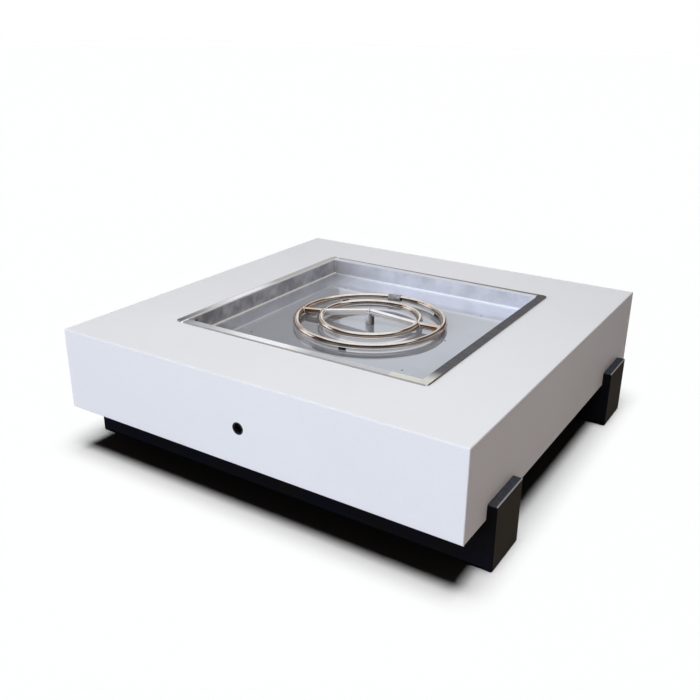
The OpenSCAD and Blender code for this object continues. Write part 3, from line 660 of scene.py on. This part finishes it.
# closed or open tube along the points, each with its outward direction and its own radius
def addTube(mesh, points, outwards, sizes, sides, closed):
    count = len(points)
    rings = []
    for i, (point, outward) in enumerate(zip(points, outwards)):
        before = points[i - 1] if closed or i > 0 else point
        after = points[(i + 1) % count] if closed or i < count - 1 else point
        tangent = (after - before).normalized()
        side = tangent.cross(outward).normalized()
        up = side.cross(tangent)
        ring = []
        for j in range(sides):
            turn = 2 * math.pi * j / sides
            ring.append(mesh.verts.new(point + (side * math.cos(turn) + up * math.sin(turn)) * sizes[i]))
        rings.append(ring)
    for i in range(count if closed else count - 1):
        here, there = rings[i], rings[(i + 1) % count]
        for j in range(sides):
            k = (j + 1) % sides
            mesh.faces.new((here[j], here[k], there[k], there[j]))
    if not closed:
        mesh.faces.new(rings[0])
        mesh.faces.new(list(reversed(rings[-1])))


def finishPiece(name, mesh, mat):
    bmesh.ops.recalc_face_normals(mesh, faces=mesh.faces)
    for face in mesh.faces:
        face.smooth = True
    data = bpy.data.meshes.new(name)
    mesh.to_mesh(data)
    mesh.free()
    data.materials.append(mat)
    piece = bpy.data.objects.new(name, data)
    bpy.context.scene.collection.objects.link(piece)
    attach(piece, "fire_pit")


def sweepBead(name, points, outwards, closed):
    look = weldBead
    mesh = bmesh.new()
    count = len(points)
    turns = [2 * math.pi * look["ripples"] * i / count for i in range(count)]
    sizes = [look["size"] * (1 + look["ripple"] * math.sin(turn)) for turn in turns]
    addTube(mesh, points, outwards, sizes, look["sides"], closed)
    finishPiece(name, mesh, weldMetal)


def outsideRing(point, ring):
    away = point - ring["centre"]
    return math.hypot(math.hypot(away.x, away.y) - ring["radius"], away.z) - ring["tube"]


# bead where a straight tube from start comes out of the ring
def beadOnRing(name, ring, start, end):
    look = weldBead
    axis = (end - start).normalized()
    side = axis.cross(Vector((0, 0, 1))).normalized()
    up = side.cross(axis)
    points = []
    outwards = []
    for i in range(look["steps"]):
        turn = 2 * math.pi * i / look["steps"]
        outward = side * math.cos(turn) + up * math.sin(turn)
        edge = start + outward * ring["tube"]
        near, far = 0.0, 2 * ring["tube"]   # the line along the tube leaves the ring's skin between these
        for _ in range(look["halvings"]):
            half = (near + far) / 2
            if outsideRing(edge + axis * half, ring) < 0:
                near = half
            else:
                far = half
        points.append(edge + axis * max(far, look["crownGap"]))
        outwards.append(outward)
    sweepBead(name, points, outwards, True)


def makeRingWelds():
    for sideName, angle in (("right", burner["spokeAngle"]), ("left", burner["spokeAngle"] + 180)):
        inner = ringPoint(innerRing, angle)
        outer = ringPoint(outerRing, angle)
        beadOnRing(sideName + "SpokeWeld", innerRing, inner, apex)
        beadOnRing(sideName + "StubInnerWeld", innerRing, inner, outer)
        beadOnRing(sideName + "StubOuterWeld", outerRing, outer, inner)


# bead over the mitre of the two spokes, and one round the riser's mouth under them
def makeApexWelds():
    look = weldBead
    tube = innerRing["tube"]
    along = heading(burner["spokeAngle"])
    across = Vector((-along.y, along.x, 0))
    up = Vector((0, 0, 1))
    slope = math.atan2(apex.z - innerRing["centre"].z, innerRing["radius"])
    crown = tube / math.cos(slope)
    low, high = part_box("riser_pipe")
    riserRadius = (high.x - low.x) / 2
    points = []
    outwards = []
    for i in range(look["steps"] // 2):
        turn = math.pi * i / (look["steps"] // 2 - 1)
        outwards.append(across * math.cos(turn) + up * math.sin(turn))
        points.append(apex + across * tube * math.cos(turn) + up * crown * math.sin(turn))
    sweepBead("apexWeld", points, outwards, False)
    points = []
    outwards = []
    for i in range(look["steps"]):
        turn = 2 * math.pi * i / look["steps"]
        outward = along * math.cos(turn) + across * math.sin(turn)
        reach = abs(riserRadius * math.cos(turn))
        aside = min(abs(riserRadius * math.sin(turn)), tube)
        lift = apex.z - reach * math.tan(slope) - math.sqrt(tube ** 2 - aside ** 2) / math.cos(slope)
        points.append(Vector((apex.x, apex.y, min(lift, high.z))) + outward * riserRadius)
        outwards.append(outward)
    sweepBead("riserWeld", points, outwards, True)


makeRingWelds()
makeApexWelds()
print("welds laid")


# small metal and rubber finishes

smallFinishes = {
    "sleeveSteel": {"colour": (0.19, 0.183, 0.175), "worn": (0.42, 0.405, 0.39), "metal": 0.3,
                    "rough": (0.4, 0.55), "scale": 160, "on": ["ring_sleeve"]},
    "scaleSteel": {"colour": (0.014, 0.013, 0.012), "worn": (0.035, 0.03, 0.027), "metal": 0.4,
                   "rough": (0.5, 0.7), "scale": 120, "on": ["burner_feet", "valve_stem"]},
    "zincPlate": {"colour": (0.50, 0.51, 0.53), "worn": (0.62, 0.62, 0.60), "metal": 1.0,
                  "rough": (0.28, 0.45), "scale": 90,
                  "on": ["leg_bolts", "leg_washers", "leg_rivet_nuts", "riser_washer", "riser_locknut",
                         "neck_locknut", "valve_bracket", "bracket_screws", "bracket_nuts"]},
    "castIron": {"colour": (0.10, 0.10, 0.105), "worn": (0.17, 0.17, 0.17), "metal": 0.8,
                 "rough": (0.5, 0.68), "scale": 210, "on": ["burner_elbow"]},
    "turnedBrass": {"colour": (0.58, 0.40, 0.15), "worn": (0.44, 0.29, 0.11), "metal": 1.0,
                    "rough": (0.22, 0.4), "scale": 70,
                    "on": ["air_mixer", "burner_hose_nut", "valve_hose_nut", "outlet_elbow",
                           "inlet_fitting", "valve_body", "valve_retainer", "packing_nut"]},
    "satinSteel": {"colour": (0.50, 0.50, 0.51), "worn": (0.60, 0.60, 0.60), "metal": 1.0,
                   "rough": (0.22, 0.36), "scale": 110, "on": ["gas_hose", "valve_ball"]},
    "whiteSeal": {"colour": (0.80, 0.80, 0.77), "worn": (0.72, 0.71, 0.68), "metal": 0.0,
                  "rough": (0.4, 0.55), "scale": 140, "on": ["valve_seats", "stem_packing"]},
    "blackRubber": {"colour": (0.003, 0.003, 0.003), "worn": (0.008, 0.008, 0.0075), "metal": 0.0,
                    "rough": (0.6, 0.8), "scale": 240, "on": ["foot_pads", "key_bushing"]},
}
smallWear = {
    "span": (0.4, 0.68),
    "height": 0.00008,
}


def makeSmallFinish(name, look):
    mat, tree, shader, coords = startMaterial(name)
    wear = noise(tree, coords, look["scale"], detail=4.0)
    worn = ramp(tree, wear, *smallWear["span"])
    plug(tree, shader, {
        "Base Color": mixColour(tree, worn, look["colour"], look["worn"]),
        "Roughness": vary(tree, wear, *look["rough"]),
        "Normal": bump(tree, wear, smallWear["height"]),
        "Metallic": look["metal"],
    })
    return mat


finishes = {}
for finishName, finish in smallFinishes.items():
    finishes[finishName] = makeSmallFinish(finishName, finish)
    dress(finishes[finishName], *finish["on"])
print("small parts finished")


# gas hose: wire strands wound both ways over it, short of the nuts at its ends

hoseBraid = {
    "hoseRadius": 0.007,
    "strands": 10,          # each way
    "wire": 0.0005,
    "lift": 0.0001,         # of a strand's axis off the hose
    "turns": 11,
    "steps": 220,
    "sides": 4,
    "sweep": (-82, 82),     # degrees of the hose's half turn
}


def between(limits, share):
    return limits[0] + (limits[1] - limits[0]) * share


def makeHoseBraid():
    look = hoseBraid
    radius = look["hoseRadius"]
    low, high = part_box("gas_hose")
    half = (high - low) / 2
    bend = high.x - low.x - radius
    centre = Vector((low.x, (low.y + high.y) / 2, (low.z + high.z) / 2))
    tilt = math.atan2(half.z - radius, half.y - radius)
    across = Vector((0, math.cos(tilt), math.sin(tilt)))
    square = Vector((0, -math.sin(tilt), math.cos(tilt)))
    mesh = bmesh.new()
    for way in (-1, 1):
        for strand in range(look["strands"]):
            points = []
            outwards = []
            for i in range(look["steps"] + 1):
                share = i / look["steps"]
                along = math.radians(between(look["sweep"], share))
                turn = 2 * math.pi * (strand / look["strands"] + way * look["turns"] * share)
                spoke = Vector((1, 0, 0)) * math.cos(along) + across * math.sin(along)
                outward = spoke * math.cos(turn) + square * math.sin(turn)
                points.append(centre + spoke * bend + outward * (radius + look["lift"]))
                outwards.append(outward)
            addTube(mesh, points, outwards, [look["wire"]] * len(points), look["sides"], False)
    finishPiece("hoseBraid", mesh, finishes["satinSteel"])


makeHoseBraid()
print("hose braided")


# studio: a floor lit to white under a white world, a soft light overhead and one from the front left

studio = {
    "floorSize": 60,
    "floorDrop": 0.0005,                            # just under the foot pads
    "floorTone": 0.025,                             # white under its own strong light
    "floorBounce": (0.00617, 0.00515, 0.00472),     # tone of the light that it throws back
    "ambient": (1.0, 0.84, 0.78),                   # soft light from all round
    "ambientStrength": 0.32,
    "overheadLight": {"place": (0.55, -1.5, 3.4), "size": 2.5, "watts": 62, "colour": (0.97, 1.0, 0.97)},
    "frontLight": {"from": (-0.40, -0.87, 0.28), "strength": 3.12, "spread": 70,
                   "colour": (0.745, 0.845, 1.0)},
    "floorLight": {"from": (0.03, -0.06, 1), "strength": 124.6, "spread": 28,
                   "colour": (0.993, 0.998, 1.0)},
    "flags": {                                      # angles in degrees
        "ceiling": {"azimuth": (0, 360), "elevation": (55, 89), "tone": (1.12, 1.24, 1.38)},
        "frontDark": {"azimuth": (-150, -5), "elevation": (9, 55), "tone": (0.05, 0.04, 0.034)},
        "frontGlow": {"azimuth": (-150, -88), "elevation": (1, 9), "tone": (1.9, 1.72, 1.58)},
        "sideGlow": {"azimuth": (-180, -150), "elevation": (1, 34), "tone": (1.3, 1.33, 1.45)},
        "sideDark": {"azimuth": (-180, -150), "elevation": (34, 55), "tone": (0.08, 0.066, 0.058)},
        "cameraFlag": {"azimuth": (-88, -5), "elevation": (1, 9), "tone": (0.70, 0.63, 0.58)},
        "rightFlag": {"azimuth": (-5, 70), "elevation": (1, 34), "tone": (0.44, 0.41, 0.39)},
        "backDark": {"azimuth": (70, 103), "elevation": (1, 34), "tone": (0.13, 0.108, 0.095)},
        "rightDark": {"azimuth": (-5, 103), "elevation": (34, 55), "tone": (0.12, 0.10, 0.088)},
        "leftFlag": {"azimuth": (124, 180), "elevation": (15, 34), "tone": (0.50, 0.50, 0.50)},
        "leftDark": {"azimuth": (124, 180), "elevation": (1, 15), "tone": (0.08, 0.066, 0.058)},
    },
    "flagDistance": 6.0,
    "flagSteps": 24,
    "darkCard": {"x": 1.45, "y": (0.2, 2.2), "height": 1.1, "tone": 0.02},
}


# rays that meet the white floor and world: seen, mirrored or through glass
def seenRays(tree):
    path = put(tree, "ShaderNodeLightPath").outputs
    rays = [path["Is " + kind + " Ray"] for kind in ("Camera", "Glossy", "Transmission")]
    return combine(tree, "MAXIMUM", *rays)


def startStageMaterial(name):
    mat = bpy.data.materials.new(name)
    mat.use_nodes = True
    tree = mat.node_tree
    tree.nodes.remove(tree.nodes["Principled BSDF"])
    return mat, tree, tree.nodes["Material Output"]


def makeFloor():
    look = studio
    bpy.ops.mesh.primitive_plane_add(size=look["floorSize"], location=(0, 0, -look["floorDrop"]))
    floor = bpy.context.object
    floor.name = "studioFloor"
    mat, tree, output = startStageMaterial("studioFloor")
    white = put(tree, "ShaderNodeBsdfDiffuse", {"Color": rgba([look["floorTone"]] * 3)}).outputs[0]
    grey = put(tree, "ShaderNodeBsdfDiffuse", {"Color": rgba(look["floorBounce"])}).outputs[0]
    both = put(tree, "ShaderNodeMixShader", {0: seenRays(tree), 1: grey, 2: white}).outputs[0]
    plug(tree, output, {"Surface": both})
    floor.data.materials.append(mat)
    return floor


def makeWorld():
    look = studio
    world = bpy.data.worlds.new("studioWorld")
    bpy.context.scene.world = world
    world.use_nodes = True
    tree = world.node_tree
    soft = tree.nodes["Background"]
    plug(tree, soft, {"Color": rgba(look["ambient"]), "Strength": look["ambientStrength"]})
    white = put(tree, "ShaderNodeBackground", {"Color": (1, 1, 1, 1), "Strength": 1.0}).outputs[0]
    both = put(tree, "ShaderNodeMixShader", {0: seenRays(tree), 1: soft.outputs[0], 2: white}).outputs[0]
    plug(tree, tree.nodes["World Output"], {"Surface": both})


# the floor has a light of its own, almost straight above, and the others leave it alone
def makeLight(name, floor):
    look = studio[name]
    data = bpy.data.lights.new(name, "AREA" if "size" in look else "SUN")
    data.color = look["colour"]
    lamp = bpy.data.objects.new(name, data)
    if "size" in look:
        data.size = look["size"]
        data.energy = look["watts"]
        away = Vector(look["place"])
        lamp.location = away
    else:
        data.angle = math.radians(look["spread"])
        data.energy = look["strength"]
        away = Vector(look["from"])
    lamp.rotation_euler = away.to_track_quat("Z", "Y").to_euler()
    bpy.context.scene.collection.objects.link(lamp)
    reach = bpy.data.collections.new(name + "Reach")
    reach.objects.link(floor)
    linked = "INCLUDE" if name == "floorLight" else "EXCLUDE"
    reach.collection_objects[0].light_linking.link_state = linked
    lamp.light_linking.receiver_collection = reach
    lamp.visible_glossy = False
    return lamp


def addStage(name, mesh, kind, tone):
    data = bpy.data.meshes.new(name)
    mesh.to_mesh(data)
    mesh.free()
    mat, tree, output = startStageMaterial(name)
    plug(tree, output, {"Surface": put(tree, kind, {"Color": rgba(tone)}).outputs[0]})
    data.materials.append(mat)
    card = bpy.data.objects.new(name, data)
    bpy.context.scene.collection.objects.link(card)
    card.visible_camera = False
    card.visible_transmission = False
    return card


# curved cards that only show as reflections in the metal
def makeFlags():
    steps = studio["flagSteps"]
    for name, look in studio["flags"].items():
        mesh = bmesh.new()
        columns = []
        for i in range(steps + 1):
            level = heading(between(look["azimuth"], i / steps))
            column = []
            for j in range(steps + 1):
                lift = math.radians(between(look["elevation"], j / steps))
                ray = level * math.cos(lift) + Vector((0, 0, math.sin(lift)))
                column.append(mesh.verts.new(ray * studio["flagDistance"]))
            columns.append(column)
        for left, right in zip(columns, columns[1:]):
            for j in range(steps):
                mesh.faces.new((left[j], right[j], right[j + 1], left[j + 1]))
        flag = addStage(name, mesh, "ShaderNodeEmission", look["tone"])
        flag.visible_diffuse = False
        flag.visible_shadow = False


# a dark card off to the right, which keeps some of the soft light from the back of that side
def makeDarkCard(floorLamp):
    look = studio["darkCard"]
    mesh = bmesh.new()
    near, far = look["y"]
    corners = ((near, 0), (far, 0), (far, look["height"]), (near, look["height"]))
    mesh.faces.new([mesh.verts.new((look["x"], y, z)) for y, z in corners])
    card = addStage("darkCard", mesh, "ShaderNodeBsdfDiffuse", [look["tone"]] * 3)
    card.visible_glossy = False
    unshaded = bpy.data.collections.new("floorUnshaded")
    unshaded.objects.link(card)
    unshaded.collection_objects[0].light_linking.link_state = "EXCLUDE"
    floorLamp.light_linking.blocker_collection = unshaded


floor = makeFloor()
makeWorld()
for lightName in ("overheadLight", "frontLight"):
    makeLight(lightName, floor)
makeFlags()
makeDarkCard(makeLight("floorLight", floor))
print("studio lit")


# camera at the photo's viewing angle

view = {
    "place": (0.97781, -1.62468, 0.9671),
    "turn": (67.852, -0.494, 32.637),   # degrees
    "lens": 41.86,
    "sensor": 36,
}


def makeCamera():
    data = bpy.data.cameras.new("camera")
    data.lens = view["lens"]
    data.sensor_width = view["sensor"]
    camera = bpy.data.objects.new("camera", data)
    camera.location = view["place"]
    camera.rotation_euler = [math.radians(angle) for angle in view["turn"]]
    bpy.context.scene.collection.objects.link(camera)
    bpy.context.scene.camera = camera


makeCamera()
bpy.context.scene.view_settings.view_transform = "Standard"

print("done")
